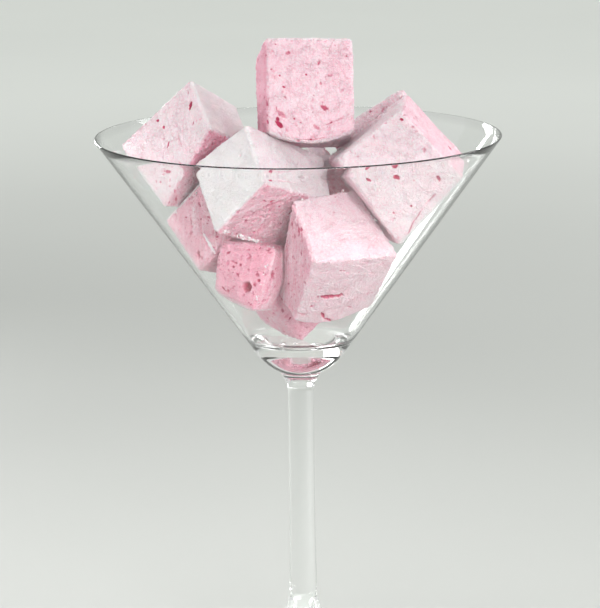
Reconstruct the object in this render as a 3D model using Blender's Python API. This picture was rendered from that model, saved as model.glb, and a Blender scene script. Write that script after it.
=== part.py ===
"""A stemmed cocktail glass heaped with cut cubes of pink marshmallow.

The origin is at the middle of the foot's underside, +Z runs up the stem and the
front of the heap faces -Y. Sizes below are in millimetres.
"""

import math
import random

import bmesh
import bpy

MM = 0.001

# Glass: heights are above the table, radii are from the stem's axis.
GLASS_HEIGHT = 158.0
RIM_RADIUS = 58.0
BOWL_HALF_ANGLE = math.radians(35.4)
WALL_LEVEL = 1.3
LIP_STEPS = 4
BOWL_FLOOR = 98.5
FLOOR_CORNER_RADIUS = 3.5
FLOOR_CORNER_STEPS = 4
NOSE_RADIUS = 12.5
NOSE_STEPS = 5
STEM_TOP = 83.0
STEM_RADIUS_TOP = 3.8
STEM_RADIUS_WAIST = 3.7
STEM_RADIUS_BOTTOM = 4.1
STEM_WAIST_HEIGHT = 53.0
COLLAR_RADIUS = 6.4
COLLAR_STEPS = 4
FOOT_RADIUS = 38.0
FOOT_EDGE = 2.0
FOOT_DOME = 1.8
FOOT_FLARE_HEIGHT = 16.5
FOOT_FLARE_REACH = 4.2
FOOT_STEPS = 10
FOOT_RING_INNER = 30.0
FOOT_RING_OUTER = 37.0
FOOT_HOLLOW = 1.2
GLASS_SIDES = 48

# Marshmallow: every cube is cut by hand, so no two match.
EDGE_ROUNDING = 2.6
ROUNDING_STEPS = 3
FACE_CUTS = 2
DENT_DEPTH = 0.35

# Each cube has its middle (across, back, above the rim), its turn in degrees about X, then
# Y, then Z, and its size along its own axes. Few are quite square: as parts of one,
# "widen_x" widens a cube's X towards its top and towards its back, "widen_y" its Y towards
# its top and its right, "widen_z" its Z towards its right and its back, and "lean" shifts
# its top along X and Y.
STRAIGHT = (0.0, 0.0)
CUBES = (
    {"name": "marshmallow_top", "middle": (2.4, 2.3, 11.4), "turn": (-20, 1, 5),
     "size": (25.5, 24.5, 26.5), "widen_x": (0.0, 0.03), "widen_y": (0.0, -0.03),
     "lean": (0.0, -0.03)},
    {"name": "marshmallow_left", "middle": (-30.2, 12.3, -5.4), "turn": (-26, -47, -11),
     "size": (26.0, 26.0, 21.5), "widen_x": (0.07, -0.12), "widen_y": (0.0, 0.13),
     "widen_z": (-0.22, -0.03), "lean": (0.07, 0.12)},
    {"name": "marshmallow_right", "middle": (28.3, -8.4, -8.7), "turn": (-4, -42, 3),
     "size": (28.0, 24.5, 27.5), "widen_x": (-0.06, 0.13), "widen_z": (-0.06, 0.0),
     "lean": (0.06, 0.0)},
    {"name": "marshmallow_centre", "middle": (-9.3, -10.1, -13.9), "turn": (45, 22, 38),
     "size": (28.0, 21.0, 22.5), "widen_x": (0.0, 0.05), "widen_y": (-0.1, -0.09),
     "widen_z": (0.0, 0.04), "lean": (0.03, 0.0)},
    {"name": "marshmallow_front", "middle": (8.5, -16.3, -33.5), "turn": (36, -3, 31),
     "size": (23.5, 19.0, 26.5), "widen_x": (0.07, -0.11), "widen_y": (0.14, 0.09),
     "widen_z": (-0.08, 0.14), "lean": (0.0, 0.12)},
    {"name": "marshmallow_low_left", "middle": (-22.0, 4.0, -26.9), "turn": (-15, -47, -21),
     "size": (20.5, 23.0, 18.5), "widen_x": (0.0, 0.09), "widen_y": (0.03, -0.03),
     "lean": (0.06, 0.0)},
    {"name": "marshmallow_low_front", "middle": (-13.7, -11.2, -37.8), "turn": (-12, 9, -29),
     "size": (15.0, 12.0, 16.5), "widen_x": (0.1, -0.05), "widen_y": (0.03, 0.0),
     "widen_z": (0.13, 0.0)},
    {"name": "marshmallow_back", "middle": (26.0, 20.2, -6.2), "turn": (-21, -34, 5),
     "size": (24.5, 22.5, 19.5), "widen_x": (0.04, 0.0), "widen_z": (-0.06, 0.0),
     "lean": (0.0, 0.06)},
    {"name": "marshmallow_bottom", "middle": (-2.8, 6.0, -45.1), "turn": (95, -39, 34),
     "size": (21.5, 20.0, 19.5), "widen_y": (0.0, 0.06), "widen_z": (0.05, 0.0),
     "lean": (-0.03, -0.05)},
    {"name": "marshmallow_low_back", "middle": (7.1, 15.3, -22.2), "turn": (20, -40, 10),
     "size": (21.0, 19.0, 24.0)},
)

GLASS_COLOUR = (0.93, 0.96, 0.95)
MARSHMALLOW_COLOUR = (0.90, 0.66, 0.72)


def clear_scene():
    """Remove whatever objects the file opened with."""
    for obj in list(bpy.data.objects):
        bpy.data.objects.remove(obj, do_unlink=True)


def principled(name, colour, roughness, transmission=0.0):
    """One plain material."""
    material = bpy.data.materials.new(name)
    material.use_nodes = True
    shader = material.node_tree.nodes["Principled BSDF"]
    shader.inputs["Base Color"].default_value = (*colour, 1.0)
    shader.inputs["Roughness"].default_value = roughness
    shader.inputs["Metallic"].default_value = 0.0
    shader.inputs["Transmission Weight"].default_value = transmission
    return material


def foot_top(radius):
    """Height of the foot's upper face: a low dome that sweeps up into the stem."""
    dome = FOOT_DOME * (1.0 - radius / FOOT_RADIUS)
    flare = FOOT_FLARE_HEIGHT * math.exp((STEM_RADIUS_BOTTOM - radius) / FOOT_FLARE_REACH)
    return FOOT_EDGE + dome + flare


def bowl_radius(height):
    """Radius of the bowl's straight outer side at a height."""
    return RIM_RADIUS - (GLASS_HEIGHT - height) * math.tan(BOWL_HALF_ANGLE)


def arc(centre, radius, start, end, steps):
    """Points (radius, height) on a circular arc, both ends included; angles in degrees."""
    points = []
    for i in range(steps + 1):
        angle = math.radians(start + (end - start) * i / steps)
        points.append((centre[0] + radius * math.cos(angle), centre[1] + radius * math.sin(angle)))
    return points


def foot_outline():
    """From the hollow under the foot round its edge and up to the stem."""
    points = [(0.0, FOOT_HOLLOW), (FOOT_RING_INNER * 0.7, FOOT_HOLLOW * 0.75), (FOOT_RING_INNER, 0.0)]
    edge = FOOT_RADIUS - FOOT_RING_OUTER
    points += arc((FOOT_RING_OUTER, edge), edge, -90, 60, 4)
    for i in range(FOOT_STEPS + 1):
        share = (1.0 - i / FOOT_STEPS) ** 1.8
        radius = STEM_RADIUS_BOTTOM + share * (FOOT_RING_OUTER - 2.0 - STEM_RADIUS_BOTTOM)
        points.append((radius, foot_top(radius)))
    return points


def nose_sphere():
    """Centre height and radius of the ball that rounds the bowl's bottom, tangent to its side."""
    radius = NOSE_RADIUS / math.cos(BOWL_HALF_ANGLE)
    touch = GLASS_HEIGHT - (RIM_RADIUS - NOSE_RADIUS) / math.tan(BOWL_HALF_ANGLE)
    return touch + radius * math.sin(BOWL_HALF_ANGLE), radius


def stem_outline():
    """The stem, a little waisted, and the collar that opens into the bowl in a hollow sweep."""
    centre, radius = nose_sphere()
    collar_top = centre - math.sqrt(radius ** 2 - COLLAR_RADIUS ** 2)
    points = [(STEM_RADIUS_WAIST, STEM_WAIST_HEIGHT)]
    for i in range(COLLAR_STEPS):
        share = i / COLLAR_STEPS
        sweep = (COLLAR_RADIUS - STEM_RADIUS_TOP) * share ** 2
        points.append((STEM_RADIUS_TOP + sweep, STEM_TOP + (collar_top - STEM_TOP) * share))
    return points


def nose_outline():
    """The rounded bottom of the bowl, from the collar to the straight side."""
    centre, radius = nose_sphere()
    start = -math.degrees(math.acos(COLLAR_RADIUS / radius))
    return arc((0.0, centre), radius, start, -math.degrees(BOWL_HALF_ANGLE), NOSE_STEPS)


def lip_outline():
    """The rim, a half round between the outer and the inner side."""
    lip = WALL_LEVEL / 2.0
    return arc((RIM_RADIUS - lip, GLASS_HEIGHT - lip), lip, 0, 180, LIP_STEPS)


def inner_outline():
    """The inner side down to the bowl's floor, with a rounded corner between them."""
    tilt = math.pi / 2.0 - BOWL_HALF_ANGLE
    reach = FLOOR_CORNER_RADIUS * math.tan(tilt / 2.0)
    floor_radius = bowl_radius(BOWL_FLOOR) - WALL_LEVEL
    centre = (floor_radius - reach, BOWL_FLOOR + FLOOR_CORNER_RADIUS)
    points = arc(centre, FLOOR_CORNER_RADIUS, math.degrees(tilt) - 90.0, -90, FLOOR_CORNER_STEPS)
    return points + [(0.0, BOWL_FLOOR)]


def turned_mesh(name, outline, sides):
    """Turn an outline, which starts and ends on the axis, into one closed mesh."""
    bm = bmesh.new()
    rings = []
    for radius, height in outline:
        if radius == 0.0:
            rings.append([bm.verts.new((0.0, 0.0, height * MM))] * sides)
            continue
        ring = []
        for i in range(sides):
            angle = 2.0 * math.pi * i / sides
            place = (radius * math.cos(angle) * MM, radius * math.sin(angle) * MM, height * MM)
            ring.append(bm.verts.new(place))
        rings.append(ring)
    for low, high in zip(rings, rings[1:]):
        for i in range(sides):
            j = (i + 1) % sides
            corners = [low[i], low[j], high[j], high[i]]
            bm.faces.new(list(dict.fromkeys(corners)))
    bmesh.ops.recalc_face_normals(bm, faces=bm.faces)
    mesh = bpy.data.meshes.new(name)
    bm.to_mesh(mesh)
    bm.free()
    mesh.shade_smooth()
    mesh.set_sharp_from_angle(angle=math.radians(50.0))
    return mesh


def add_object(name, mesh, material):
    """Link a mesh into the scene under its node's name."""
    mesh.materials.append(material)
    obj = bpy.data.objects.new(name, mesh)
    bpy.context.scene.collection.objects.link(obj)
    return obj


def build_glass(material):
    """The foot, stem and bowl are one blown piece."""
    outline = foot_outline() + stem_outline() + nose_outline() + lip_outline() + inner_outline()
    return add_object("glass", turned_mesh("glass", outline, GLASS_SIDES), material)


def cube_point(cube, across, back, up):
    """Place of a point of the cube, each coordinate from -1 to 1, before the edges are rounded."""
    half_x, half_y, half_z = (side * MM / 2.0 for side in cube["size"])
    x_up, x_back = cube.get("widen_x", STRAIGHT)
    y_up, y_across = cube.get("widen_y", STRAIGHT)
    z_across, z_back = cube.get("widen_z", STRAIGHT)
    lean_x, lean_y = cube.get("lean", STRAIGHT)
    x = half_x * (across * (1.0 + x_up * up + x_back * back) + lean_x * up)
    y = half_y * (back * (1.0 + y_up * up + y_across * across) + lean_y * up)
    z = half_z * up * (1.0 + z_across * across + z_back * back)
    return x, y, z


def cube_mesh(cube, chance):
    """A cut cube: a subdivided box whose faces are a little sunk here and there."""
    bm = bmesh.new()
    bmesh.ops.create_cube(bm, size=2.0)
    bmesh.ops.subdivide_edges(bm, edges=bm.edges[:], cuts=FACE_CUTS, use_grid_fill=True)
    for vert in bm.verts:
        on_faces = sum(abs(value) > 0.999 for value in vert.co)
        inside = vert.normal.copy() * -DENT_DEPTH * MM * chance.random() if on_faces == 1 else None
        vert.co = cube_point(cube, *vert.co)
        if inside:
            vert.co += inside
    mesh = bpy.data.meshes.new(cube["name"])
    bm.to_mesh(mesh)
    bm.free()
    mesh.shade_smooth()
    return mesh


def build_cube(cube, material, chance):
    """One marshmallow, turned and dropped into its place in the heap."""
    obj = add_object(cube["name"], cube_mesh(cube, chance), material)
    across, back, above_rim = cube["middle"]
    obj.location = (across * MM, back * MM, (GLASS_HEIGHT + above_rim) * MM)
    obj.rotation_euler = [math.radians(angle) for angle in cube["turn"]]
    bevel = obj.modifiers.new("rounded_edges", "BEVEL")
    bevel.width = EDGE_ROUNDING * MM
    bevel.segments = ROUNDING_STEPS
    bevel.limit_method = "ANGLE"
    bevel.angle_limit = math.radians(40.0)
    return obj


def main():
    clear_scene()
    chance = random.Random(7)
    build_glass(principled("glass", GLASS_COLOUR, 0.03, transmission=1.0))
    for cube in CUBES:
        build_cube(cube, principled(cube["name"], MARSHMALLOW_COLOUR, 0.9), chance)


main()
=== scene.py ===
import itertools
import math

import bpy
import numpy as np
from mathutils import Matrix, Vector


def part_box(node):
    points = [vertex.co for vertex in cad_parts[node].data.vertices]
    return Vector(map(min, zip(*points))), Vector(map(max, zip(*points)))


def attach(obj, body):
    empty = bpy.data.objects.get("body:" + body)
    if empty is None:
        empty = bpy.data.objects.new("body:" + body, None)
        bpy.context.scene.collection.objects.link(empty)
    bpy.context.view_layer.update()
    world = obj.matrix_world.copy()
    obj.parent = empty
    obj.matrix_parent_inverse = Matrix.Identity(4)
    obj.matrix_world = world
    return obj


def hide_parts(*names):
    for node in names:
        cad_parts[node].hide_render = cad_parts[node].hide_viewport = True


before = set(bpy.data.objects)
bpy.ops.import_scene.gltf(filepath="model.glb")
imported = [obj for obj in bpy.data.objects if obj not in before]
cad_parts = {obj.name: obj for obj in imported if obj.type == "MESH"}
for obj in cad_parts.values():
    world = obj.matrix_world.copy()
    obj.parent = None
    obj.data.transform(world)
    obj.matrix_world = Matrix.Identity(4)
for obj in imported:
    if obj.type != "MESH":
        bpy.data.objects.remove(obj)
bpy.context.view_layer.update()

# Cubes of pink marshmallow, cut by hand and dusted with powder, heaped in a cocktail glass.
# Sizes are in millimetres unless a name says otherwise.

MM = 0.001
GLASS_LOW, GLASS_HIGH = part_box("glass")
RIM_HEIGHT = GLASS_HIGH[2] / MM
RIM_RADIUS = (GLASS_HIGH[0] - GLASS_LOW[0]) / 2.0 / MM

# Glass, as the frame has it.
BOWL_HALF_ANGLE = math.radians(35.4)
WALL_LEVEL = 1.3
LIP_THICKNESS = 0.5
BOWL_FLOOR = 98.5
FLOOR_CORNER_RADIUS = 3.5
NOSE_RADIUS = 12.5
STEM_TOP = 83.0
STEM_RADIUS_TOP = 3.8
STEM_RADIUS_WAIST = 3.7
STEM_RADIUS_BOTTOM = 4.1
STEM_WAIST_HEIGHT = 53.0
COLLAR_RADIUS = 6.4
FOOT_RADIUS = 38.0
FOOT_EDGE = 2.0
FOOT_DOME = 1.8
FOOT_FLARE_HEIGHT = 16.5
FOOT_FLARE_REACH = 4.2
FOOT_RING_INNER = 30.0
FOOT_RING_OUTER = 37.0
FOOT_HOLLOW = 1.2
GLASS_SIDES = 224

# Marshmallow: the rounding of its edges and the mesh rows over it, the space it keeps to
# the bowl's wall, the depth over which it gives way there, and how far the knife draws its
# ridges out, from 0, round grain, to 1, endless lines.
EDGE_ROUNDING = 1.15
ROUNDING_STEPS = 6
WALL_CLEARANCE = 0.06
WALL_GIVE = 0.5
KNIFE_DRAW = 0.84

# What a cut or cast face is like: share of powder, depth of pink, height of the knife's
# ridges in millimetres, and pores on the face.
SKIN = (0.93, 0.05, 0.00, 3)
DUSTED = (0.60, 0.20, 0.03, 5)
BLUSHED = (0.26, 0.26, 0.02, 5)
POWDERED = (0.52, 0.24, 0.05, 34)
MOTTLED = (0.30, 0.34, 0.06, 44)
ROSY = (0.12, 0.42, 0.03, 14)
DUSKY = (0.60, 0.34, 0.14, 120)
RIDGED = (0.24, 0.64, 0.27, 130)
TORN = (0.18, 0.86, 0.09, 190)

# Each face's axis, its side of the cube, and the two axes that run along it.
FACES = {
    "left": (0, -1, 1, 2),
    "right": (0, 1, 1, 2),
    "front": (1, -1, 0, 2),
    "back": (1, 1, 0, 2),
    "under": (2, -1, 0, 1),
    "top": (2, 1, 0, 1),
}

# Each cube stands for the CAD node of its name, with the same middle (across, back, above
# the rim), turn, size, widening and lean. "swell" raises the middle of the faces across X,
# Y and Z, "bow" is how far the edge below the front sags in its middle, "knife" is the
# way the ridges run, "steps" is the number of mesh rows on a side.
STRAIGHT = (0.0, 0.0)
CUBES = (
    {"name": "marshmallow_top", "middle": (2.4, 2.3, 11.4), "turn": (-20, 1, 5),
     "size": (25.5, 24.5, 26.5), "widen_x": (0.0, 0.03), "widen_y": (0.0, -0.03),
     "lean": (0.0, -0.03), "swell": (0.3, 0.2, 1.1), "bow": 3.2, "knife": (0.1, 0.0, 1.0),
     "steps": 124,
     "faces": {"front": MOTTLED, "left": TORN, "right": MOTTLED, "top": DUSTED,
               "under": POWDERED, "back": MOTTLED}},
    {"name": "marshmallow_left", "middle": (-30.2, 12.3, -5.4), "turn": (-26, -47, -11),
     "size": (26.0, 26.0, 21.5), "widen_x": (0.07, -0.12), "widen_y": (0.0, 0.13),
     "widen_z": (-0.22, -0.03), "lean": (0.07, 0.12), "swell": (0.4, 0.2, 0.1),
     "knife": (0.55, 0.0, 0.83), "steps": 124,
     "faces": {"front": POWDERED, "right": SKIN, "under": RIDGED, "left": SKIN,
               "top": MOTTLED, "back": RIDGED}},
    {"name": "marshmallow_right", "middle": (28.3, -8.4, -8.7), "turn": (-4, -42, 3),
     "size": (28.0, 24.5, 27.5), "widen_x": (-0.06, 0.13), "widen_z": (-0.06, 0.0),
     "lean": (0.06, 0.0), "swell": (0.2, 0.3, 0.2), "knife": (0.7, 0.0, -0.7), "steps": 124,
     "faces": {"front": POWDERED, "top": DUSKY, "right": ROSY, "left": MOTTLED,
               "under": SKIN, "back": RIDGED}},
    {"name": "marshmallow_centre", "middle": (-9.3, -10.1, -13.9), "turn": (45, 22, 38),
     "size": (28.0, 21.0, 22.5), "widen_x": (0.0, 0.05), "widen_y": (-0.1, -0.09),
     "widen_z": (0.0, 0.04), "lean": (0.03, 0.0), "swell": (0.2, -0.4, 0.2),
     "knife": (0.3, 0.5, 0.8), "steps": 124,
     "faces": {"left": SKIN, "top": DUSTED, "front": RIDGED, "right": SKIN,
               "under": MOTTLED, "back": RIDGED}},
    {"name": "marshmallow_front", "middle": (8.5, -16.3, -33.5), "turn": (36, -3, 31),
     "size": (23.5, 19.0, 26.5), "widen_x": (0.07, -0.11), "widen_y": (0.14, 0.09),
     "widen_z": (-0.08, 0.14), "lean": (0.0, 0.12), "swell": (0.0, 0.2, 0.3),
     "bow": 4.2, "knife": (0.0, 0.53, 0.85), "steps": 124,
     "faces": {"top": BLUSHED, "left": RIDGED, "front": MOTTLED, "right": RIDGED,
               "under": SKIN, "back": MOTTLED}},
    {"name": "marshmallow_low_left", "middle": (-22.0, 4.0, -26.9), "turn": (-15, -47, -21),
     "size": (20.5, 23.0, 18.5), "widen_x": (0.0, 0.09), "widen_y": (0.03, -0.03),
     "lean": (0.06, 0.0), "swell": (0.3, 0.3, 1.4), "knife": (0.6, 0.0, 0.8), "steps": 112,
     "faces": {"front": RIDGED, "left": MOTTLED, "top": SKIN, "under": TORN,
               "right": RIDGED, "back": MOTTLED}},
    {"name": "marshmallow_low_front", "middle": (-13.7, -11.2, -37.8), "turn": (-12, 9, -29),
     "size": (15.0, 12.0, 16.5), "widen_x": (0.1, -0.05), "widen_y": (0.03, 0.0),
     "widen_z": (0.13, 0.0), "swell": (2.4, 0.6, 1.2), "knife": (0.0, 0.0, 1.0), "steps": 96,
     "faces": {"front": TORN, "right": RIDGED, "left": TORN, "top": TORN,
               "under": MOTTLED, "back": TORN}},
    {"name": "marshmallow_back", "middle": (26.0, 20.2, -6.2), "turn": (-21, -34, 5),
     "size": (24.5, 22.5, 19.5), "widen_x": (0.04, 0.0), "widen_z": (-0.06, 0.0),
     "lean": (0.0, 0.06), "swell": (0.2, 0.2, 0.3), "knife": (1.0, 0.0, 0.2), "steps": 108,
     "faces": {"front": DUSKY, "top": DUSTED, "right": MOTTLED, "left": RIDGED,
               "under": SKIN, "back": MOTTLED}},
    {"name": "marshmallow_bottom", "middle": (-2.8, 6.0, -45.1), "turn": (95, -39, 34),
     "size": (21.5, 20.0, 19.5), "widen_y": (0.0, 0.06), "widen_z": (0.05, 0.0),
     "lean": (-0.03, -0.05), "swell": (1.2, 1.2, 1.2), "knife": (0.0, 1.0, 0.3), "steps": 96,
     "faces": {"front": TORN, "top": TORN, "left": RIDGED, "right": TORN,
               "under": RIDGED, "back": RIDGED}},
    {"name": "marshmallow_low_back", "middle": (7.1, 15.3, -22.2), "turn": (20, -40, 10),
     "size": (21.0, 19.0, 24.0), "swell": (0.2, 0.2, 0.2), "knife": (0.0, 0.4, 0.9),
     "steps": 84,
     "faces": {"front": RIDGED, "top": SKIN, "left": RIDGED, "right": MOTTLED,
               "under": SKIN, "back": MOTTLED}},
)

# Marks that stand out, by cube: the face, the middle along the face's two axes, the length,
# the width, the turn in degrees, the depth, and the strength of the dye in it.
MARKS = {
    "marshmallow_top": (
        ("front", -9.0, -9.9, 2.6, 1.5, -24, 0.8, 1.0),
        ("front", -9.6, -8.7, 1.5, 1.1, 66, 0.6, 0.9),
        ("front", -8.5, -7.1, 3.6, 1.3, -14, 0.4, 0.45),
        ("front", -9.8, -6.2, 2.0, 0.45, -82, 0.2, 0.5),
        ("front", 4.0, -5.0, 3.3, 1.1, -26, 0.5, 0.6),
        ("front", 1.5, -9.4, 2.4, 1.1, -31, 0.3, 0.4),
        ("front", -7.6, -0.3, 1.2, 0.6, 0, 0.5, 0.9),
        ("front", -8.7, 2.6, 0.8, 0.6, 0, 0.4, 0.7),
        ("front", -11.1, 4.3, 0.8, 0.6, 0, 0.3, 0.6),
        ("front", -1.0, 2.9, 0.8, 0.6, 0, 0.4, 0.8),
        ("front", -9.7, 11.4, 0.8, 0.6, -18, 0.3, 0.5),
        ("front", -4.7, -7.6, 0.8, 0.6, 0, 0.3, 0.7),
        ("front", 6.1, -8.7, 1.1, 0.6, 11, 0.3, 0.6),
        ("front", 10.9, 8.1, 0.8, 0.6, -45, 0.3, 0.5),
        ("front", 0.0, -12.6, 0.8, 0.6, 0, 0.4, 0.9),
        ("front", 7.3, -8.6, 8.8, 0.45, 9, 0.2, 0.35),
        ("front", 0.2, -12.6, 9.8, 0.45, 5, 0.2, 0.35),
        ("front", -8.8, -12.6, 3.6, 0.45, -42, 0.2, 0.3),
        ("front", -10.9, 2.6, 4.7, 1.4, -26, 0.1, 0.2),
        ("left", 6.4, 4.4, 2.6, 0.6, 73, 0.5, 0.8),
        ("left", 3.2, -0.1, 1.8, 0.6, 55, 0.4, 0.7),
        ("left", -0.6, 5.3, 3.0, 0.45, -79, 0.2, 0.5),
        ("front", -0.6, 2.2, 8.0, 6.0, 40, 0.05, 0.10),
    ),
    "marshmallow_left": (
        ("front", 9.8, 2.5, 2.4, 1.0, 48, 0.8, 1.0),
        ("front", -0.2, 7.8, 1.2, 0.8, -57, 0.5, 0.8),
        ("front", 0.3, 4.7, 1.7, 0.8, 80, 0.5, 0.9),
        ("front", -0.9, -0.4, 2.3, 0.7, 32, 0.4, 0.8),
        ("front", 8.5, -2.9, 1.6, 0.6, 42, 0.3, 0.6),
        ("front", 11.0, 7.2, 2.0, 0.5, 69, 0.25, 0.4),
        ("front", -5.7, -5.7, 3.2, 1.0, -53, 0.6, 0.6),
        ("front", 2.4, -3.2, 4.4, 0.45, 84, 0.25, 0.25),
        ("front", -9.3, -5.6, 0.9, 0.7, -65, 0.3, 0.5),
        ("front", -7.6, -8.8, 0.9, 0.7, -65, 0.3, 0.4),
        ("front", 5.0, -1.0, 13.0, 0.5, 60, 0.2, 0.05),
        ("front", 2.5, -1.5, 9.0, 0.5, 68, 0.2, 0.05),
    ),
    "marshmallow_right": (
        ("front", -1.8, 0.0, 2.3, 1.5, -42, 0.8, 0.9),
        ("front", 11.8, 11.5, 1.2, 0.9, -51, 0.5, 0.9),
        ("front", 12.6, 6.0, 0.9, 0.7, -37, 0.4, 0.3),
        ("front", 8.1, -8.4, 2.2, 1.0, 79, 0.5, 0.7),
        ("front", -9.5, 4.6, 1.6, 0.8, -56, 0.4, 0.7),
        ("front", -3.8, -8.5, 0.9, 0.7, -39, 0.4, 0.8),
        ("front", -9.4, -6.5, 0.8, 0.6, -37, 0.3, 0.6),
        ("front", 2.2, -10.9, 5.9, 0.5, 0, 0.45, 0.35),
        ("front", -3.2, -11.5, 5.6, 0.5, 10, 0.45, 0.45),
        ("front", -7.7, -12.4, 4.8, 0.6, 20, 0.45, 0.55),
        ("front", -10.8, -7.4, 3.1, 0.45, -27, 0.25, 0.3),
        ("right", 1.8, -6.2, 2.3, 1.5, -32, 0.7, 1.0),
        ("right", -8.0, 9.0, 0.9, 0.8, 0, 0.4, 0.8),
    ),
    "marshmallow_centre": (
        ("top", -10.8, -8.8, 1.8, 0.8, 12, 0.4, 0.8),
        ("front", -4.8, 4.2, 5.4, 1.6, 48, 1.1, 0.5),
        ("front", -8.9, -2.5, 2.6, 1.4, 4, 0.4, 0.0),
        ("front", -5.0, -2.7, 2.3, 1.4, 1, 0.4, 0.0),
        ("top", -9.0, -8.5, 6.6, 0.5, 16, 0.35, 0.1),
        ("top", -5.0, -7.5, 10.0, 0.5, 9, 0.35, 0.1),
    ),
    "marshmallow_front": (
        ("top", 0.0, 3.8, 0.8, 0.7, 0, 0.3, 0.4),
        ("left", 7.8, 1.5, 3.5, 1.2, 59, 0.8, 0.7),
        ("left", 2.3, 10.8, 2.0, 0.8, 40, 0.5, 0.8),
        ("left", 4.2, 6.8, 1.9, 1.0, 59, 0.4, 0.5),
        ("left", -2.1, 7.8, 1.9, 0.8, 58, 0.4, 0.5),
        ("left", 7.6, -10.0, 2.4, 0.8, 58, 0.4, 0.6),
        ("front", -3.5, -2.5, 7.5, 1.3, -4, 1.0, 0.9),
        ("front", -3.2, -9.6, 4.3, 0.8, -54, 0.5, 0.8),
        ("front", -0.9, -11.8, 4.2, 0.8, -40, 0.5, 0.7),
        ("front", -10.0, -9.6, 3.4, 1.0, 11, 0.4, 0.4),
        ("front", -8.0, -6.0, 1.4, 0.8, 20, 0.4, 0.5),
        ("front", 4.0, -8.0, 1.6, 0.7, -30, 0.35, 0.5),
    ),
    "marshmallow_low_left": (
        ("front", -6.5, -5.5, 2.8, 1.1, 51, 0.8, 0.7),
        ("front", -2.0, 3.0, 4.0, 0.6, 60, 0.4, 0.4),
        ("front", 3.0, -5.0, 5.0, 0.6, 45, 0.4, 0.5),
    ),
    "marshmallow_low_front": (
        ("front", 2.8, -3.0, 2.9, 2.9, 16, 2.4, 0.8),
        ("front", 5.7, -0.5, 1.0, 1.0, 14, 0.8, 0.8),
        ("front", -4.2, -5.9, 2.6, 0.6, -24, 0.4, 0.9),
        ("front", -1.9, 2.5, 1.1, 0.7, -14, 0.4, 0.6),
    ),
}

# Loose crumbs lie in clumps, some of them between: the cube, the face, the two ends of the
# line they lie along, their number and the largest one's radius.
CLUMPS = 7
CRUMB_LINES = (
    ("marshmallow_right", "top", (-12.5, 11.6), (12.0, 11.6), 90, 0.34),
    ("marshmallow_right", "front", (-13.0, 12.2), (-13.0, -11.0), 34, 0.26),
    ("marshmallow_centre", "front", (-12.8, -9.0), (4.0, -10.3), 90, 0.42),
    ("marshmallow_centre", "front", (2.0, -10.0), (12.0, -9.8), 26, 0.34),
    ("marshmallow_centre", "left", (-8.0, -9.5), (-9.0, 9.5), 40, 0.26),
    ("marshmallow_front", "top", (-11.0, 8.4), (10.0, 8.6), 36, 0.26),
    ("marshmallow_front", "top", (7.0, 5.5), (10.0, 7.4), 6, 0.34),
    ("marshmallow_front", "top", (11.0, -5.0), (11.2, 8.0), 26, 0.30),
    ("marshmallow_top", "under", (-9.0, -11.2), (9.0, -11.0), 26, 0.26),
    ("marshmallow_low_front", "front", (6.6, -6.5), (6.8, 6.4), 26, 0.32),
    ("marshmallow_low_front", "top", (-6.0, -4.0), (6.0, -4.4), 26, 0.34),
    ("marshmallow_low_left", "front", (-9.0, 8.6), (5.0, 8.4), 30, 0.26),
    ("marshmallow_left", "right", (-12.0, -9.4), (10.0, -9.2), 30, 0.22),
)

# One sliver of crust lies on a cube's front: its two ends along X and Z.
SLIVER_CUBE = "marshmallow_low_left"
SLIVER_START = (-0.8, -2.1)
SLIVER_END = (-1.4, -9.0)

# Colours are (red, green, blue) in linear light.
POWDER_WHITE = (0.92, 0.88, 0.885)
PALE_PINK = (0.97, 0.76, 0.82)
DEEP_PINK = (0.93, 0.38, 0.51)
CRIMSON = (0.62, 0.045, 0.14)
GLASS_TINT = (0.978, 0.984, 0.980)
BACKDROP = (0.535, 0.550, 0.525)

# How much light each crossing of the glass lets through to what lies behind it.
GLASS_SHADE = (0.79, 0.80, 0.795)

# The glow of the paper where it is far off, and the distances in metres over which it comes in.
BACKDROP_GLOW = (0.36, 0.375, 0.355)
GLOW_START = 0.25
GLOW_FULL = 1.3

# The paper lies this far under the foot, so that light reaches the glass from below.
FLOOR_GAP = 0.4

# Strength of the pale room: what shines in the glass, and what fills the shadows.
ROOM_REFLECTED = 0.75
ROOM_FILL = 0.24

# Camera, in metres and degrees, and its lens in millimetres.
CAMERA_PLACE = (0.0, -0.7412, 0.2728)
CAMERA_TILT = -12.495
CAMERA_ROLL = -0.674
CAMERA_LENS = 157.58
CAMERA_SENSOR = 36.0


# ---- numbers -------------------------------------------------------------------------


def smooth(low, high, values):
    """0 below low, 1 above high, and a smooth step 3t^2 - 2t^3 between them."""
    share = np.clip((values - low) / (high - low), 0.0, 1.0)
    return share * share * (3.0 - 2.0 * share)


def clouds(place, grain, seed):
    """Soft random heights from -1 to 1: random numbers on a lattice as coarse as the grain,
    blended between the eight nearest by smooth steps."""
    cells = 32
    table = np.random.default_rng(seed).uniform(-1.0, 1.0, (cells, cells, cells))
    spot = place / grain + 1000.0
    cell = np.floor(spot).astype(int)
    share = smooth(0.0, 1.0, spot - cell)
    total = np.zeros(len(place))
    for corner in itertools.product((0, 1), repeat=3):
        weight = np.prod(np.where(corner, share, 1.0 - share), axis=1)
        total += weight * table[tuple(((cell + corner) % cells).T)]
    return total


def arc(centre, radius, start, end, steps):
    """Points (radius, height) on a circular arc, both ends included; angles in degrees."""
    angle = np.radians(np.linspace(start, end, steps + 1))
    return np.stack([centre[0] + radius * np.cos(angle), centre[1] + radius * np.sin(angle)], axis=1)


# ---- pieces --------------------------------------------------------------------------


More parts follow.
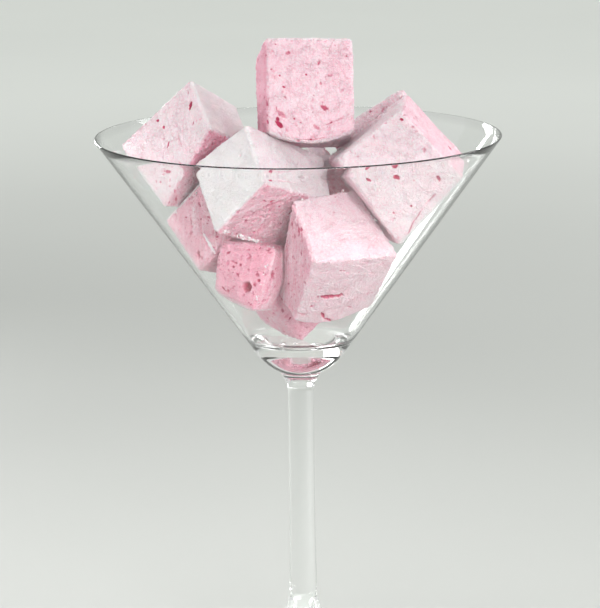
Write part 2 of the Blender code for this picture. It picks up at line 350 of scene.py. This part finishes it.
def make_mesh(name, points, faces, values=None):
    """A smooth mesh of points in millimetres, arrays of faces and named values at the points."""
    mesh = bpy.data.meshes.new(name)
    mesh.vertices.add(len(points))
    mesh.vertices.foreach_set("co", (points * MM).ravel())
    corners = np.concatenate([face.ravel() for face in faces])
    sizes = np.concatenate([np.full(len(face), face.shape[1]) for face in faces])
    mesh.loops.add(len(corners))
    mesh.loops.foreach_set("vertex_index", corners)
    mesh.polygons.add(len(sizes))
    mesh.polygons.foreach_set("loop_start", np.concatenate([[0], np.cumsum(sizes)[:-1]]))
    mesh.polygons.foreach_set("use_smooth", np.ones(len(sizes), bool))
    for key, value in (values or {}).items():
        kind, field = ("FLOAT_VECTOR", "vector") if value.ndim == 2 else ("FLOAT", "value")
        mesh.attributes.new(key, kind, "POINT").data.foreach_set(field, value.astype(np.float32).ravel())
    mesh.update(calc_edges=True)
    mesh.validate()
    return mesh


def add_piece(name, mesh, material, node=None):
    """Link a mesh as one piece of the object, hang it on the root body, and hide the CAD part it stands for.
    """
    mesh.materials.append(material)
    piece = bpy.data.objects.new(name, mesh)
    bpy.context.scene.collection.objects.link(piece)
    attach(piece, "root")
    if node:
        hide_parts(node)
    return piece


def turned(outline, sides):
    """Points and faces of an outline (radius, height) carried once round the Z axis. Its two
    ends lie on the axis, where the rings close to one point."""
    rings = outline[1:-1]
    angle = np.arange(sides) * 2.0 * math.pi / sides
    across = rings[:, :1] * np.cos(angle)
    back = rings[:, :1] * np.sin(angle)
    height = np.repeat(rings[:, 1:], sides, axis=1)
    points = np.stack([across, back, height], axis=-1).reshape(-1, 3)
    first = len(points)
    poles = np.array([[0.0, 0.0, outline[0][1]], [0.0, 0.0, outline[-1][1]]])
    low = np.arange(first - sides).reshape(-1, sides)
    low_next = np.roll(low, -1, axis=1)
    quads = np.stack([low, low_next, low_next + sides, low + sides], axis=-1).reshape(-1, 4)
    start = np.arange(sides)
    start_next = np.roll(start, -1)
    bottom = np.stack([np.full(sides, first), start_next, start], axis=1)
    top_ring = start + first - sides
    top = np.stack([np.full(sides, first + 1), top_ring, np.roll(top_ring, -1)], axis=1)
    return np.concatenate([points, poles]), [quads, np.concatenate([bottom, top])]


# ---- glass ---------------------------------------------------------------------------


def foot_top(radius):
    """Height of the foot's upper face: a low dome that sweeps up into the stem."""
    dome = FOOT_DOME * (1.0 - radius / FOOT_RADIUS)
    return FOOT_EDGE + dome + FOOT_FLARE_HEIGHT * np.exp((STEM_RADIUS_BOTTOM - radius) / FOOT_FLARE_REACH)


def wall_radius(height):
    """Radius of the bowl's inner side at a height."""
    return RIM_RADIUS - WALL_LEVEL - (RIM_HEIGHT - height) * math.tan(BOWL_HALF_ANGLE)


def foot_outline():
    """From the hollow under the foot round its edge and up its dome to the stem."""
    hollow = np.linspace(0.0, FOOT_RING_INNER, 12)
    under = np.stack([hollow, FOOT_HOLLOW * (1.0 - smooth(0.5, 1.0, hollow / FOOT_RING_INNER))], axis=1)
    edge = FOOT_RADIUS - FOOT_RING_OUTER
    rounded = arc((FOOT_RING_OUTER, edge), edge, -90, 60, 10)
    share = np.linspace(1.0, 0.0, 40) ** 1.8
    radius = STEM_RADIUS_BOTTOM + share * (FOOT_RING_OUTER - 2.0 - STEM_RADIUS_BOTTOM)
    return np.concatenate([under, rounded, np.stack([radius, foot_top(radius)], axis=1)])


def stem_outline(collar_top):
    """The stem narrows to its waist and opens through a hollow sweep into the collar."""
    foot_end = foot_top(STEM_RADIUS_BOTTOM)
    height = np.linspace(foot_end, STEM_TOP, 24)[1:]
    lower = (height - STEM_WAIST_HEIGHT) / (foot_end - STEM_WAIST_HEIGHT)
    upper = (height - STEM_WAIST_HEIGHT) / (STEM_TOP - STEM_WAIST_HEIGHT)
    radius = STEM_RADIUS_WAIST + np.where(
        lower > 0.0,
        (STEM_RADIUS_BOTTOM - STEM_RADIUS_WAIST) * lower ** 2,
        (STEM_RADIUS_TOP - STEM_RADIUS_WAIST) * upper ** 2,
    )
    share = np.linspace(0.0, 1.0, 16)[1:-1]
    sweep = STEM_RADIUS_TOP + (COLLAR_RADIUS - STEM_RADIUS_TOP) * share ** 2
    collar = np.stack([sweep, STEM_TOP + (collar_top - STEM_TOP) * share], axis=1)
    return np.concatenate([np.stack([radius, height], axis=1), collar])


def glass_outline():
    """The whole profile: foot, stem, rounded nose, straight side, rim, inner side and floor."""
    ball = NOSE_RADIUS / math.cos(BOWL_HALF_ANGLE)
    touch = RIM_HEIGHT - (RIM_RADIUS - NOSE_RADIUS) / math.tan(BOWL_HALF_ANGLE)
    centre = touch + ball * math.sin(BOWL_HALF_ANGLE)
    collar_top = centre - math.sqrt(ball ** 2 - COLLAR_RADIUS ** 2)
    start = -math.degrees(math.acos(COLLAR_RADIUS / ball))
    nose = arc((0.0, centre), ball, start, -math.degrees(BOWL_HALF_ANGLE), 20)
    lip = LIP_THICKNESS / 2.0
    slope = math.degrees(BOWL_HALF_ANGLE)
    rim = arc((RIM_RADIUS - lip, RIM_HEIGHT - lip), lip, -slope, 180.0 - slope, 14)
    side = np.linspace(nose[-1], rim[0], 26)[1:-1]
    tilt = math.pi / 2.0 - BOWL_HALF_ANGLE
    corner = (wall_radius(BOWL_FLOOR) - FLOOR_CORNER_RADIUS * math.tan(tilt / 2.0),
              BOWL_FLOOR + FLOOR_CORNER_RADIUS)
    floor_corner = arc(corner, FLOOR_CORNER_RADIUS, math.degrees(tilt) - 90.0, -90, 12)
    inner = np.linspace(rim[-1], floor_corner[0], 26)[1:-1]
    floor = np.linspace(floor_corner[-1], (0.0, BOWL_FLOOR), 6)[1:]
    return np.concatenate([foot_outline(), stem_outline(collar_top), nose, side, rim, inner,
                           floor_corner, floor])


def build_glass(material):
    """The glass is one turned, closed wall."""
    points, faces = turned(glass_outline(), GLASS_SIDES)
    return add_piece("cocktail_glass", make_mesh("cocktail_glass", points, faces), material,
                     "glass")


# ---- marshmallow ---------------------------------------------------------------------


def block_lattice(steps):
    """Whole-numbered points on the surface of a block of steps, each once, and its quads."""
    row = np.arange(steps + 1)
    first, second = np.meshgrid(row, row, indexing="ij")
    width = steps + 1
    quads = []
    for axis in range(3):
        for side in (0, steps):
            point = np.empty((width, width, 3), int)
            point[..., axis] = side
            point[..., (axis + 1) % 3] = first
            point[..., (axis + 2) % 3] = second
            key = point @ np.array([width * width, width, 1])
            corners = [key[:-1, :-1], key[1:, :-1], key[1:, 1:], key[:-1, 1:]]
            if side == 0:
                corners.reverse()
            quads.append(np.stack(corners, axis=-1).reshape(-1, 4))
    keys, index = np.unique(np.concatenate(quads), return_inverse=True)
    points = np.stack([keys // (width * width), keys // width % width, keys % width], axis=1)
    return points, index.reshape(-1, 4)


def rounded_block(size, steps):
    """Surface points of a block with rounded edges, and their outward directions. Rows run
    evenly over the flats and by equal angles round the edges: a point is its nearest point
    of the inner block plus the rounding along the direction between them."""
    lattice, quads = block_lattice(steps)
    half = np.array(size) / 2.0
    inner = half - EDGE_ROUNDING
    bend = EDGE_ROUNDING * np.tan(np.radians(45.0 * np.arange(ROUNDING_STEPS, 0, -1) / ROUNDING_STEPS))
    place = np.empty(lattice.shape)
    for axis in range(3):
        flat = np.linspace(-inner[axis], inner[axis], steps + 1 - 2 * ROUNDING_STEPS)
        line = np.concatenate([-inner[axis] - bend, flat, inner[axis] + bend[::-1]])
        place[:, axis] = line[lattice[:, axis]]
    core = np.clip(place, -inner, inner)
    out = place - core
    out /= np.linalg.norm(out, axis=1, keepdims=True)
    return core + EDGE_ROUNDING * out, out, quads


def widened(cube, place):
    """The cube's true, uneven shape: each coordinate stretched in proportion to the others."""
    half = np.array(cube["size"]) / 2.0
    across, back, up = (place / half).T
    x_up, x_back = cube.get("widen_x", STRAIGHT)
    y_up, y_across = cube.get("widen_y", STRAIGHT)
    z_across, z_back = cube.get("widen_z", STRAIGHT)
    lean_x, lean_y = cube.get("lean", STRAIGHT)
    return half * np.stack([
        across * (1.0 + x_up * up + x_back * back) + lean_x * up,
        back * (1.0 + y_up * up + y_across * across) + lean_y * up,
        up * (1.0 + z_across * across + z_back * back),
    ], axis=1)


def turn_matrix(cube):
    """The cube's turn about X, then Y, then Z."""
    x, y, z = (Matrix.Rotation(math.radians(angle), 3, axis) for angle, axis in zip(cube["turn"], "XYZ"))
    return np.array(z @ y @ x)


def in_heap(cube, local):
    """Carry points of a cube to their place in the glass."""
    across, back, above_rim = cube["middle"]
    return local @ turn_matrix(cube).T + (across, back, RIM_HEIGHT + above_rim)


def against_glass(points):
    """Soft foam gives way: within a short way of the bowl's inner side the distance left to
    it shrinks as e^(-x), so that nothing passes it, and the floor stops what would."""
    points = points.copy()
    radius = np.hypot(points[:, 0], points[:, 1])
    above = np.maximum(points[:, 2] - RIM_HEIGHT, 0.0)
    limit = wall_radius(np.minimum(points[:, 2], RIM_HEIGHT)) - WALL_CLEARANCE + 2.0 * above
    over = np.maximum(radius - (limit - WALL_GIVE), 0.0)
    pressed = limit - WALL_GIVE * np.exp(-over / WALL_GIVE)
    share = np.where(over > 0.0, pressed / np.maximum(radius, 0.1), 1.0)
    points[:, :2] *= share[:, None]
    points[:, 2] = np.maximum(points[:, 2], BOWL_FLOOR + WALL_CLEARANCE)
    return points


def random_pores(cube, chance):
    """Open bubbles scattered over each face, more and deeper on torn and ridged ones."""
    half = np.array(cube["size"]) / 2.0
    pores = []
    for face, (_, _, first, second) in FACES.items():
        powder, pink, _, count = cube["faces"][face]
        share = half[first] * half[second] / 156.0
        for _ in range(int(count * share)):
            x, y = chance.uniform(-0.96, 0.96, 2) * (half[first], half[second])
            width = 0.38 + 0.75 * chance.random() ** 3
            length = width * chance.uniform(1.0, 2.2)
            dye = (0.4 * pink + 0.6 * chance.random() ** 2) * (1.0 - 0.7 * powder)
            pores.append((face, x, y, length, width, chance.uniform(0, 180), 0.5 * width, dye))
    return pores


def press_marks(cube, place, marks):
    """Depth and dye of all marks at each point. A mark is an oval with a ragged outline: its
    hollow falls smoothly from its edge to its full depth."""
    half = np.array(cube["size"]) / 2.0
    depth = np.zeros(len(place))
    dye = np.zeros(len(place))
    ragged = 0.36 * clouds(place, 0.8, 77) + 0.30 * clouds(place, 0.4, 78)
    for face, x, y, length, width, turn, deep, strength in marks:
        axis, side, first, second = FACES[face]
        offset = place - 0.0
        offset[:, axis] -= side * half[axis]
        offset[:, first] -= x
        offset[:, second] -= y
        near = np.flatnonzero((np.abs(offset) < 0.75 * length + 0.8).all(axis=1))
        local = offset[near]
        cos, sin = math.cos(math.radians(turn)), math.sin(math.radians(turn))
        along = (local[:, first] * cos + local[:, second] * sin) / (length / 2.0)
        across = (local[:, second] * cos - local[:, first] * sin) / (width / 2.0)
        reach = np.sqrt(along ** 2 + across ** 2 + (local[:, axis] / 1.2) ** 2)
        reach += ragged[near] * min(max(length / width - 0.85, 0.15), 1.0)
        hollow = 1.0 - smooth(0.35, 1.15, reach)
        depth[near] = np.maximum(depth[near], deep * hollow)
        dye[near] = np.maximum(dye[near], strength * (1.0 - smooth(0.55, 1.25, reach)))
    return depth, dye


def face_blend(cube, out, column):
    """One number of the face styles at each point: faces share it by the square of how far
    the surface there looks their way, which adds up to one."""
    total = np.zeros(len(out))
    for face, (axis, side, _, _) in FACES.items():
        total += cube["faces"][face][column] * np.maximum(out[:, axis] * side, 0.0) ** 2
    return total


def marshmallow_surface(cube, seed):
    """One cube's finished points, quads and surface values. Heights in millimetres add up:
    swollen faces, slow waves, worn edges, ridges drawn out along the knife's way, foam
    grain, then the hollows of pores and marks."""
    place, out, quads = rounded_block(cube["size"], cube["steps"])
    half = np.array(cube["size"]) / 2.0
    share = place / half
    powder = face_blend(cube, out, 0)
    pink = face_blend(cube, out, 1)
    ridge_height = face_blend(cube, out, 2)
    rough = smooth(0.0, 0.09, ridge_height)
    edge = 1.0 - (out ** 2).max(axis=1)

    crown = 1.0 - share ** 2
    swell = sum(cube["swell"][axis] * out[:, axis] ** 2 * crown[:, (axis + 1) % 3] * crown[:, (axis + 2) % 3]
                for axis in range(3))
    toward_edge = smooth(0.0, 1.1, -share[:, 1]) * smooth(-0.4, 1.0, -share[:, 2])
    sag = cube.get("bow", 0.0) * crown[:, 0] * toward_edge
    waves = 0.20 * clouds(place, 8.0, seed) + 0.07 * clouds(place, 2.6, seed + 1)
    worn = edge * (0.12 + 0.55 * np.abs(clouds(place, 1.1, seed + 2)) + 0.22 * clouds(place, 4.0, seed + 9))
    knife = np.array(cube["knife"]) / np.linalg.norm(cube["knife"])
    drawn = place - np.outer(place @ knife, knife) * KNIFE_DRAW
    ridges = ridge_height * (clouds(drawn, 0.75, seed + 3) + 0.6 * clouds(drawn, 0.4, seed + 4))
    grain = (0.050 + 0.090 * rough) * (clouds(place, 0.65, seed + 5) + 0.7 * clouds(place, 0.38, seed + 6))

    chance = np.random.default_rng(seed)
    marks = list(MARKS.get(cube["name"], ())) + random_pores(cube, chance)
    depth, dye = press_marks(cube, place, marks)
    height = swell + waves - worn + ridges + grain - depth
    shape = widened(cube, place) + out * height[:, None]
    shape[:, 2] -= sag
    points = against_glass(in_heap(cube, shape))

    # Painted shade: the hollows of pores and marks turn a deeper pink and lose their powder. The foam is
    # also pinker in the valleys between the knife's ridges and paler on their crests, varies at random, and
    # carries more powder on the rounded edges.
    pink = pink + 0.06 * clouds(place, 6.0, seed + 7) - 0.10 * ridges / 0.1 + 0.25 * smooth(0.1, 0.6, depth)
    powder = powder + 0.07 * clouds(place, 3.5, seed + 8) + 0.25 * edge - 0.9 * smooth(0.05, 0.4, depth)
    values = {"place": place + seed * 10.0, "pink": np.clip(pink, 0, 1),
              "powder": np.clip(powder, 0, 1), "dye": np.clip(dye, 0, 1)}
    return points, quads, values


def build_marshmallows(material):
    """All ten cubes, each with its own seed."""
    for number, cube in enumerate(CUBES):
        points, quads, values = marshmallow_surface(cube, 20 * (number + 1))
        mesh = make_mesh(cube["name"], points, [quads], values)
        add_piece("cut_" + cube["name"], mesh, material, cube["name"])


# ---- crumbs --------------------------------------------------------------------------


def ball_grid(rows, columns):
    """Directions from a ball's middle on rows and columns, and the faces that join them."""
    outline = arc((0.0, 0.0), 1.0, -90, 90, rows)
    outline[0, 0] = outline[-1, 0] = 0.0
    return turned(outline, columns)


def scattered(middles, radii, stretch, seed):
    """Many lumpy balls in one mesh: each is a small ball grid, stretched unevenly and with
    its points moved in and out at random."""
    chance = np.random.default_rng(seed)
    ball, faces = ball_grid(6, 8)
    count = len(middles)
    lumps = 1.0 + 0.22 * chance.uniform(-1, 1, (count, len(ball), 1))
    sides = chance.uniform(1.0 - stretch, 1.0 + stretch, (count, 1, 3))
    points = middles[:, None] + ball[None] * lumps * sides * radii[:, None, None]
    step = (np.arange(count) * len(ball))[:, None, None]
    return points.reshape(-1, 3), [(face[None] + step).reshape(-1, face.shape[1]) for face in faces]


def crumb_places(chance):
    """Middles and radii of the loose crumbs: along each line with a little scatter."""
    cubes = {cube["name"]: cube for cube in CUBES}
    middles = []
    radii = []
    for name, face, start, end, count, largest in CRUMB_LINES:
        cube = cubes[name]
        axis, side, first, second = FACES[face]
        clumps = chance.choice(chance.random(CLUMPS), count) + chance.normal(0, 0.05, count)
        share = np.clip(np.where(chance.random(count) < 0.6, clumps, chance.random(count)), 0, 1)
        radius = largest * (0.22 + 0.78 * chance.random(count) ** 3)
        local = np.empty((count, 3))
        local[:, first] = start[0] + (end[0] - start[0]) * share + chance.normal(0, 0.35, count)
        local[:, second] = start[1] + (end[1] - start[1]) * share + chance.normal(0, 0.35, count)
        local[:, axis] = side * (cube["size"][axis] / 2.0 + radius * 0.3)
        middles.append(in_heap(cube, widened(cube, local)))
        radii.append(radius)
    return against_glass(np.concatenate(middles)), np.concatenate(radii)


def sliver_places():
    """Middles and radii of the balls that make a sliver of crust: close together on a line
    that bends a little, thick in the middle and thin at both ends."""
    cube = next(cube for cube in CUBES if cube["name"] == SLIVER_CUBE)
    share = np.linspace(0.0, 1.0, 15)
    radius = 0.22 + 0.26 * np.sin(math.pi * share) ** 0.7
    local = np.empty((len(share), 3))
    local[:, 0] = SLIVER_START[0] + (SLIVER_END[0] - SLIVER_START[0]) * share + 0.5 * share * (1.0 - share)
    local[:, 1] = -cube["size"][1] / 2.0 - 0.5 * radius
    local[:, 2] = SLIVER_START[1] + (SLIVER_END[1] - SLIVER_START[1]) * share
    return in_heap(cube, widened(cube, local)), radius


def build_crumbs(material):
    """Loose crumbs and powder grains that cling to the cubes' edges, and one sliver."""
    middles, radii = crumb_places(np.random.default_rng(5))
    sliver, thickness = sliver_places()
    middles = np.concatenate([middles, sliver])
    radii = np.concatenate([radii, thickness])
    points, faces = scattered(middles, radii, 0.35, 6)
    add_piece("powder_crumbs", make_mesh("powder_crumbs", points, faces), material)


# ---- materials -----------------------------------------------------------------------


class Wire:
    """A shader socket on which sums, products and steps can be written as plain maths."""

    def __init__(self, paint, socket):
        self.paint = paint
        self.socket = socket

    def _maths(self, operation, *values):
        inputs = dict(enumerate(values))
        return self.paint.node("ShaderNodeMath", {"operation": operation}, inputs)

    def __add__(self, other):
        return self._maths("ADD", self, other)

    def __sub__(self, other):
        return self._maths("SUBTRACT", self, other)

    def __rsub__(self, other):
        return self._maths("SUBTRACT", other, self)

    def __mul__(self, other):
        return self._maths("MULTIPLY", self, other)

    __radd__ = __add__
    __rmul__ = __mul__

    def step(self, low, high):
        """A smooth step from 0 at low to 1 at high."""
        inputs = {"Value": self, "From Min": low, "From Max": high}
        return self.paint.node("ShaderNodeMapRange", {"interpolation_type": "SMOOTHSTEP"}, inputs)


class Paint:
    """A material under construction."""

    def __init__(self, name):
        self.material = bpy.data.materials.new(name)
        self.material.use_nodes = True
        self.tree = self.material.node_tree
        self.tree.nodes.clear()

    def node(self, kind, settings=None, inputs=None, output=0):
        """One node, its settings made first, then its sockets filled with values or links."""
        made = self.tree.nodes.new(kind)
        for key, value in (settings or {}).items():
            setattr(made, key, value)
        for key, value in (inputs or {}).items():
            if isinstance(value, Wire):
                self.tree.links.new(value.socket, made.inputs[key])
            else:
                made.inputs[key].default_value = value
        return Wire(self, made.outputs[output])

    def value(self, name, output="Fac"):
        """A named value of the mesh: its Fac for numbers, its Vector for places."""
        return self.node("ShaderNodeAttribute", {"attribute_name": name}, output=output)

    def noise(self, place, size, detail=3.0, roughness=0.55, output="Fac"):
        """Soft noise whose lumps are about one size across, from 0 to 1."""
        inputs = {"Vector": place, "Scale": 1.0 / size, "Detail": detail, "Roughness": roughness}
        return self.node("ShaderNodeTexNoise", {}, inputs, output)

    def cells(self, place, size, feature="F1", output="Distance"):
        """Distance to the nearest of points scattered one size apart."""
        inputs = {"Vector": place, "Scale": 1.0 / size}
        return self.node("ShaderNodeTexVoronoi", {"feature": feature}, inputs, output)

    def scaled(self, place, factors):
        """A place with each coordinate multiplied."""
        return self.node("ShaderNodeVectorMath", {"operation": "MULTIPLY"}, {0: place, 1: factors})

    def blend(self, share, low, high):
        """Colours mixed by a share; numbers 6 and 7 are the Mix node's colour sockets."""
        low, high = ((*c, 1.0) if isinstance(c, tuple) else c for c in (low, high))
        return self.node("ShaderNodeMix", {"data_type": "RGBA"}, {0: share, 6: low, 7: high}, 2)

    def bump(self, height, distance, strength=1.0):
        """A normal from a height field, its full height being the distance in metres."""
        inputs = {"Height": height, "Distance": distance, "Strength": strength}
        return self.node("ShaderNodeBump", {}, inputs)

    def finish(self, shader):
        """Join the shader to the material's output."""
        output = self.tree.nodes.new("ShaderNodeOutputMaterial")
        self.tree.links.new(shader.socket, output.inputs["Surface"])
        return self.material


def marshmallow_paint():
    """Foam with a fine rosy mottling, crimson bubbles of dye, powder, and painted shade in its hollows,
    which are deeper pink and bare of powder.
    """
    paint = Paint("pink_marshmallow")
    place = paint.value("place", "Vector")
    # The pink and powder values carry the foam's own colour and also the painted shade of its hollows.
    pink = paint.value("pink")
    powder = paint.value("powder")
    dye = paint.value("dye")
    broad = paint.noise(place, 3.2, detail=2.0)
    mottle = paint.noise(place, 0.50, detail=3.0, roughness=0.62)
    fine = paint.noise(place, 0.24, detail=2.0, roughness=0.6)
    wander = paint.scaled(paint.noise(place, 1.1, detail=3.0, output="Color"), (1.7, 1.7, 1.7))
    wandered = paint.node("ShaderNodeVectorMath", {"operation": "ADD"}, {0: place, 1: wander})
    lace = 1.0 - paint.cells(wandered, 1.1, "DISTANCE_TO_EDGE").step(0.0, 0.12)
    cracks = 1.0 - paint.cells(wandered, 4.2, "DISTANCE_TO_EDGE").step(0.0, 0.035)
    cracked = cracks * paint.noise(place, 5.0, detail=1.0).step(0.48, 0.62)
    laced = lace * paint.noise(place, 2.8, detail=1.0).step(0.40, 0.60)
    depth = pink + (broad - 0.5) * 0.35 + (mottle - 0.5) * 1.1 + laced * 0.24 + cracked * 0.25
    depth = depth + (fine - 0.5) * 0.6
    foam = paint.blend(depth.step(-0.05, 1.15), PALE_PINK, DEEP_PINK)
    specks = paint.cells(place, 1.7)
    chosen = paint.noise(place, 4.5, detail=1.0).step(0.50, 0.64)
    speck = (1.0 - specks.step(0.06, 0.16)) * chosen * (1.0 - powder * 0.75) * 0.65
    dust_grain = paint.noise(place, 0.42, detail=3.0, roughness=0.7)
    dust = (powder + (dust_grain - 0.5) * 1.3).step(0.18, 0.95) * 0.93
    dusted = paint.blend(dust, foam, POWDER_WHITE)
    stained = paint.blend((dye * 1.15 + speck).step(0.04, 0.95), dusted, CRIMSON)
    bubbles = paint.cells(place, 0.42, "SMOOTH_F1")
    relief = bubbles * 0.4 + fine * 0.5 + dust_grain * 0.6 + mottle * 0.9
    relief = relief - speck - cracked * 0.35 - laced * 0.3
    shader = paint.node("ShaderNodeBsdfPrincipled", {}, {
        "Base Color": stained,
        "Roughness": 0.78 + (fine - 0.5) * 0.2 + dust * 0.12,
        "Specular IOR Level": 0.28,
        "Subsurface Weight": 0.25,
        "Subsurface Radius": (1.0, 0.45, 0.55),
        "Subsurface Scale": 0.0012,
        "Sheen Weight": 0.12,
        "Sheen Roughness": 0.6,
        "Normal": paint.bump(relief, 0.0007, 1.0),
    })
    return paint.finish(shader)


def powder_paint():
    """Powder that has clumped: nearly white, with a breath of pink."""
    paint = Paint("clumped_powder")
    place = paint.node("ShaderNodeTexCoord", {}, output="Object")
    tint = paint.noise(place, 0.0016, detail=3.0)
    grain = paint.noise(place, 0.00025, detail=2.0)
    shader = paint.node("ShaderNodeBsdfPrincipled", {}, {
        "Base Color": paint.blend(tint.step(0.35, 0.75), POWDER_WHITE, (0.93, 0.76, 0.81)),
        "Roughness": 0.86 + (grain - 0.5) * 0.2,
        "Specular IOR Level": 0.3,
        "Subsurface Weight": 0.25,
        "Subsurface Radius": (1.0, 0.6, 0.6),
        "Subsurface Scale": 0.001,
        "Normal": paint.bump(grain, 0.0001, 0.8),
    })
    return paint.finish(shader)


def glass_paint():
    """Clear, polished glass with the faintest haze of powder, whose shadow is light."""
    paint = Paint("clear_glass")
    place = paint.node("ShaderNodeTexCoord", {}, output="Object")
    haze = paint.noise(place, 0.018, detail=4.0, roughness=0.6).step(0.62, 0.85)
    clear = paint.node("ShaderNodeBsdfPrincipled", {}, {
        "Base Color": (*GLASS_TINT, 1.0),
        "Roughness": haze * 0.02,
        "IOR": 1.5,
        "Transmission Weight": 1.0,
        "Specular IOR Level": 0.5,
    })
    shade = paint.node("ShaderNodeBsdfTransparent", {}, {"Color": (*GLASS_SHADE, 1.0)})
    lit = paint.node("ShaderNodeLightPath", {}, output="Is Shadow Ray")
    return paint.finish(paint.node("ShaderNodeMixShader", {}, {0: lit, 1: clear, 2: shade}))


def backdrop_paint():
    """Plain pale grey paper with a very faint tooth. Far from the glass it glows a little,
    where the lights no longer reach it."""
    paint = Paint("pale_backdrop")
    place = paint.node("ShaderNodeTexCoord", {}, output="Object")
    cloud = paint.noise(place, 0.35, detail=2.0)
    tone = tuple(0.97 * c for c in BACKDROP)
    distance = paint.node("ShaderNodeVectorMath", {"operation": "LENGTH"}, {0: place}, output="Value")
    shader = paint.node("ShaderNodeBsdfPrincipled", {}, {
        "Base Color": paint.blend(cloud.step(0.3, 0.7), tone, BACKDROP),
        "Roughness": 0.75,
        "Specular IOR Level": 0.25,
        "Emission Color": paint.blend(distance.step(GLOW_START, GLOW_FULL), (0.0, 0.0, 0.0), BACKDROP_GLOW),
        "Emission Strength": 1.0,
    })
    return paint.finish(shader)


# ---- stage ---------------------------------------------------------------------------


def build_backdrop(material):
    """A sheet of paper that lies flat under the glass and curves up far behind it: a straight
    run, a quarter circle and a straight rise, carried sideways. It rises well beyond the
    distance that the glass is looked at from, so that it never stands in front of it."""
    front, turn_start, bend, rise, half_width = -2600.0, 1900.0, 500.0, 2600.0, 2600.0
    angle = np.radians(np.linspace(0.0, 90.0, 25))
    run = np.stack([np.linspace(front, turn_start, 8)[:-1], np.zeros(7)], axis=1)
    curve = np.stack([turn_start + bend * np.sin(angle), bend * (1.0 - np.cos(angle))], axis=1)
    wall = np.stack([np.full(6, turn_start + bend), np.linspace(bend, rise, 7)[1:]], axis=1)
    profile = np.concatenate([run, curve, wall])
    profile[:, 1] -= FLOOR_GAP
    rows = len(profile)
    left = np.column_stack([np.full(rows, -half_width), profile])
    right = np.column_stack([np.full(rows, half_width), profile])
    low = np.arange(rows - 1)
    quads = np.stack([low, low + rows, low + rows + 1, low + 1], axis=1)
    mesh = make_mesh("backdrop", np.concatenate([left, right]), [quads])
    mesh.materials.append(material)
    sheet = bpy.data.objects.new("backdrop", mesh)
    bpy.context.scene.collection.objects.link(sheet)


def add_softbox(name, place, aim, size, power, spread=math.pi):
    """A soft light of a size and power at a place in metres, turned to face another."""
    light = bpy.data.lights.new(name, "AREA")
    light.shape = "RECTANGLE"
    light.size, light.size_y = size
    light.energy = power
    light.spread = spread
    box = bpy.data.objects.new(name, light)
    bpy.context.scene.collection.objects.link(box)
    box.location = place
    gaze = np.array(aim) - np.array(place)
    flat = math.hypot(gaze[0], gaze[1])
    box.rotation_euler = (math.atan2(flat, -gaze[2]), 0.0, math.atan2(-gaze[0], gaze[1]))


def build_lights():
    """A high key light on the right, softer ones on the left and above, and a pale room."""
    heap = (0.0, 0.0, 0.14)
    add_softbox("key_front_right", (0.50, -1.12, 0.60), heap, (0.6, 0.6), 13.4)
    add_softbox("side_right", (0.95, 0.20, 0.40), heap, (0.5, 0.8), 6.6)
    add_softbox("side_left", (-0.90, -0.45, 0.35), heap, (0.5, 0.8), 4.8)
    add_softbox("window_behind_left", (-0.33, 0.60, 0.20), heap, (0.24, 0.20), 0.45, 1.0)
    add_softbox("above", (-0.1, 0.1, 1.3), heap, (0.9, 0.9), 5.0)
    world = bpy.data.worlds.new("room")
    world.use_nodes = True
    room = world.node_tree.nodes["Background"]
    room.inputs["Color"].default_value = (1.0, 1.0, 1.0, 1.0)
    seen_by = world.node_tree.nodes.new("ShaderNodeLightPath")
    strength = world.node_tree.nodes.new("ShaderNodeMapRange")
    strength.inputs["To Min"].default_value = ROOM_REFLECTED
    strength.inputs["To Max"].default_value = ROOM_FILL
    world.node_tree.links.new(seen_by.outputs["Is Diffuse Ray"], strength.inputs["Value"])
    world.node_tree.links.new(strength.outputs["Result"], room.inputs["Strength"])
    bpy.context.scene.view_settings.view_transform = "Standard"
    bpy.context.scene.world = world


def build_camera():
    """The camera stands in front, a little above the rim, and looks down on the heap."""
    data = bpy.data.cameras.new("camera")
    data.sensor_fit = "HORIZONTAL"
    data.sensor_width = CAMERA_SENSOR
    data.lens = CAMERA_LENS
    camera = bpy.data.objects.new("camera", data)
    bpy.context.scene.collection.objects.link(camera)
    tilt = Matrix.Rotation(math.radians(90.0 + CAMERA_TILT), 4, "X")
    roll = Matrix.Rotation(math.radians(CAMERA_ROLL), 4, "Z")
    camera.matrix_world = Matrix.Translation(CAMERA_PLACE) @ tilt @ roll
    bpy.context.scene.camera = camera


build_camera()
build_glass(glass_paint())
build_marshmallows(marshmallow_paint())
build_crumbs(powder_paint())
build_backdrop(backdrop_paint())
build_lights()
